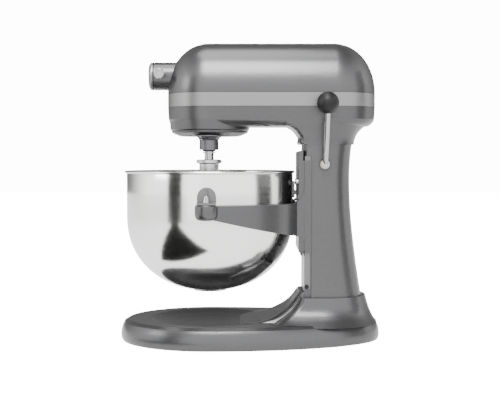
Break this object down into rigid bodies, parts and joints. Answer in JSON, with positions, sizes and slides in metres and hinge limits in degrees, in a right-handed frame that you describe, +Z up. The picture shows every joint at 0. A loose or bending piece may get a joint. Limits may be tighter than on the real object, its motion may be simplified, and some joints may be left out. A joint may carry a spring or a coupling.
{
  "type": "bowl-lift stand mixer",
  "caption": "Bowl-lift stand mixer: motor head on a column, planetary beater over a steel bowl held by a lifting yoke, side lever, attachment hub.",
  "frame": {"origin": "centre of the bounding box on the worktop plane, under the rubber feet", "axes": "+Z up, the attachment hub faces -Y, the lift lever is on the +X side"},
  "size_m": [0.2844, 0.367, 0.4197],
  "materials": {
    "silver_paint": "satin metallic silver paint over die-cast zinc",
    "brushed_trim": "brushed along its length, clear-coated",
    "bowl_steel": "polished stainless steel with fine turned brushing",
    "bracket_steel": "matte bead-blasted steel",
    "bright_chrome": "polished chrome plate",
    "black_plastic": "moulded, semi-gloss",
    "dark_casting": "dark anodised, turned",
    "black_rubber": "matte moulded rubber",
    "gear_steel": "hobbed and ground",
    "bronze": "machined bronze",
    "copper": "turned copper bars",
    "lamination_iron": "stacked laminations, varnished",
    "grey_plastic": "moulded glass-filled nylon",
    "board_green": "printed circuit board with solder mask",
    "carbon": "pressed carbon",
    "zinc_screws": "zinc plated",
    "beater_aluminium": "burnished cast aluminium"
  },
  "bodies": {
    "stand": {"base_casting": "silver_paint", "rubber_feet": "black_rubber", "frame_bolts": "zinc_screws", "pedestal_column": "silver_paint", "guide_rails": "bracket_steel", "rail_stop_screws": "black_plastic", "cord_gland": "black_rubber", "gearcase_housing": "silver_paint", "trim_band": "brushed_trim", "motor_cover": "silver_paint", "cover_screws": "zinc_screws", "ring_gear": "gear_steel", "motor_stator": "lamination_iron", "motor_brackets": "bracket_steel", "ball_bearings": "gear_steel", "brush_holders": "grey_plastic", "carbon_brushes": "carbon", "speed_control_board": "board_green", "bronze_bushes": "bronze", "worm_wheel_bridge": "bracket_steel", "attachment_hub": "silver_paint", "hub_hinge_pin": "bright_chrome"},
    "motor_rotor": {"motor_armature": "lamination_iron", "commutator": "copper", "cooling_fan": "grey_plastic", "motor_shaft": "gear_steel", "worm": "gear_steel"},
    "worm_wheel_set": {"worm_wheel": "bronze", "drive_pinion": "gear_steel", "worm_wheel_shaft": "gear_steel"},
    "hub_drive": {"hub_drive_shaft": "bright_chrome", "hub_bevel_gear": "gear_steel"},
    "planetary": {"planetary_disc": "dark_casting", "agitator_bearings": "gear_steel", "agitator_seal": "black_rubber", "centre_shaft": "gear_steel", "centre_gear": "gear_steel", "centre_bevel_gear": "gear_steel"},
    "agitator": {"agitator_shaft": "bright_chrome", "beater_drive_pin": "bright_chrome", "agitator_pinion": "gear_steel"},
    "beater": {"flat_beater": "beater_aluminium"},
    "yoke": {"bowl_yoke": "silver_paint", "locating_pins": "bright_chrome", "bowl_latch_spring": "bracket_steel", "lift_bracket": "bracket_steel", "yoke_screws": "zinc_screws"},
    "bowl": {"bowl_shell": "bowl_steel", "bowl_brackets": "bracket_steel", "bowl_latch_clip": "bracket_steel", "bowl_handle": "bowl_steel"},
    "lift_lever": {"lift_shaft": "bright_chrome", "lift_crank": "gear_steel", "crank_roller": "gear_steel", "lift_lever": "bright_chrome", "lever_knob": "black_plastic"},
    "speed_lever": {"speed_lever": "gear_steel", "speed_knob": "black_plastic"},
    "hub_cover": {"hub_cover": "brushed_trim"},
    "attachment_knob": {"attachment_knob": "bright_chrome"}
  },
  "joints": [
    {"name": "planetary_spin", "type": "hinge", "parent": "stand", "child": "planetary", "pos_m": [0, -0.0567, 0.3], "axis": [0, 0, 1], "continuous": true},
    {"name": "agitator_spin", "type": "hinge", "parent": "planetary", "child": "agitator", "pos_m": [0.0345, -0.0567, 0.28], "axis": [0, 0, 1], "continuous": true},
    {"name": "worm_wheel_spin", "type": "hinge", "parent": "stand", "child": "worm_wheel_set", "pos_m": [0.0285, -0.01172, 0.34], "axis": [0, 0, 1], "continuous": true},
    {"name": "motor_spin", "type": "hinge", "parent": "stand", "child": "motor_rotor", "pos_m": [0, 0.08, 0.35], "axis": [0, 1, 0], "continuous": true},
    {"name": "hub_drive_spin", "type": "hinge", "parent": "stand", "child": "hub_drive", "pos_m": [0, -0.1, 0.3738], "axis": [0, 1, 0], "continuous": true},
    {"name": "beater_twist", "type": "hinge", "parent": "agitator", "child": "beater", "pos_m": [0.0345, -0.0567, 0.245], "axis": [0, 0, 1], "range_deg": [0, 32]},
    {"name": "lift_lever_turn", "type": "hinge", "parent": "stand", "child": "lift_lever", "pos_m": [0.04, 0.103, 0.25], "axis": [-1, 0, 0], "range_deg": [0, 140]},
    {"name": "yoke_slide", "type": "slide", "parent": "stand", "child": "yoke", "axis": [0, 0, -1], "range_m": [0, 0.0381]},
    {"name": "bowl_tilt", "type": "hinge", "parent": "yoke", "child": "bowl", "pos_m": [0, -0.0692, 0.198], "axis": [1, 0, 0], "range_deg": [0, 5]},
    {"name": "speed_lever_slide", "type": "slide", "parent": "stand", "child": "speed_lever", "axis": [0, 1, 0], "range_m": [0, 0.04]},
    {"name": "hub_cover_hinge", "type": "hinge", "parent": "stand", "child": "hub_cover", "pos_m": [-0.02145, -0.1335, 0.3738], "axis": [0, 0, -1], "range_deg": [0, 110]},
    {"name": "attachment_knob_turn", "type": "hinge", "parent": "stand", "child": "attachment_knob", "pos_m": [0.025, -0.126, 0.3758], "axis": [1, 0, 0], "continuous": true}
  ],
  "couplings": [
    {"joint": "agitator_spin", "follows": "planetary_spin", "ratio": -3.5556},
    {"joint": "worm_wheel_spin", "follows": "planetary_spin", "ratio": -3.1765},
    {"joint": "motor_spin", "follows": "planetary_spin", "ratio": -88.941},
    {"joint": "hub_drive_spin", "follows": "planetary_spin", "ratio": -1},
    {"joint": "lift_lever_turn", "follows": "yoke_slide", "rad_per_m": 64.13}
  ]
}
